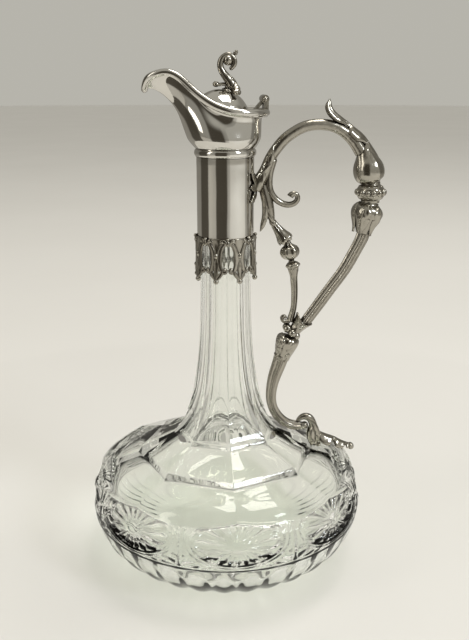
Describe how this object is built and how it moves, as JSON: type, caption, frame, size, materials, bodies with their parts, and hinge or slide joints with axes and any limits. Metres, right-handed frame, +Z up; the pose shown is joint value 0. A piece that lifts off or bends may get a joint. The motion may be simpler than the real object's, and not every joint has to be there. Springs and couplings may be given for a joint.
{
  "type": "claret jug",
  "caption": "Antique claret jug with a facetted cut glass body, a silver plated spouted head, a hinged domed lid and a cast scroll handle.",
  "frame": {"origin": "middle of the flat foot, on the table", "axes": "+X from the axis of the jug to the handle, +Y across the jug, +Z up to the finial"},
  "size_m": [0.1748, 0.1644, 0.3007],
  "materials": {
    "cut_glass": "clear, fire polished with cut facets",
    "silver_plate": "polished plate",
    "cast_plate": "polished casting, darkened in the recesses",
    "plaster": "matt plaster"
  },
  "bodies": {
    "jug": {"glass_body": "cut_glass", "plaster_bed": "plaster", "collar_sleeve": "silver_plate", "neck_band": "silver_plate", "spout_head": "silver_plate", "lip_wire": "silver_plate", "hinge_bracket": "silver_plate", "hinge_pin": "silver_plate", "gallery_border": "cast_plate", "handle_lug": "cast_plate", "handle_arch": "cast_plate", "arch_leaf": "cast_plate", "inner_curl": "cast_plate", "drop_branch": "cast_plate", "drop_bell": "cast_plate", "drop_knop": "cast_plate", "drop_stem": "cast_plate", "upper_knop": "cast_plate", "ring_knop": "cast_plate", "lower_knop": "cast_plate", "grip_stem": "cast_plate", "junction_cuff": "cast_plate", "junction_beads": "cast_plate", "lower_cup": "cast_plate", "foot_stem": "cast_plate", "foot_ball": "cast_plate", "foot_scroll": "cast_plate", "foot_leaf": "cast_plate"},
    "lid": {"lid_dome": "silver_plate", "lid_moulding": "silver_plate", "lid_knuckle": "silver_plate", "finial_base": "cast_plate", "finial_screw": "silver_plate", "finial_nut": "silver_plate", "finial_ball": "cast_plate", "finial_scroll": "cast_plate", "finial_bud": "cast_plate", "finial_leaf": "cast_plate"}
  },
  "joints": [
    {"name": "lid_hinge", "type": "hinge", "parent": "jug", "child": "lid", "pos_m": [0.0215, 0, 0.2752], "axis": [0, 1, 0], "range_deg": [0, 100]}
  ]
}
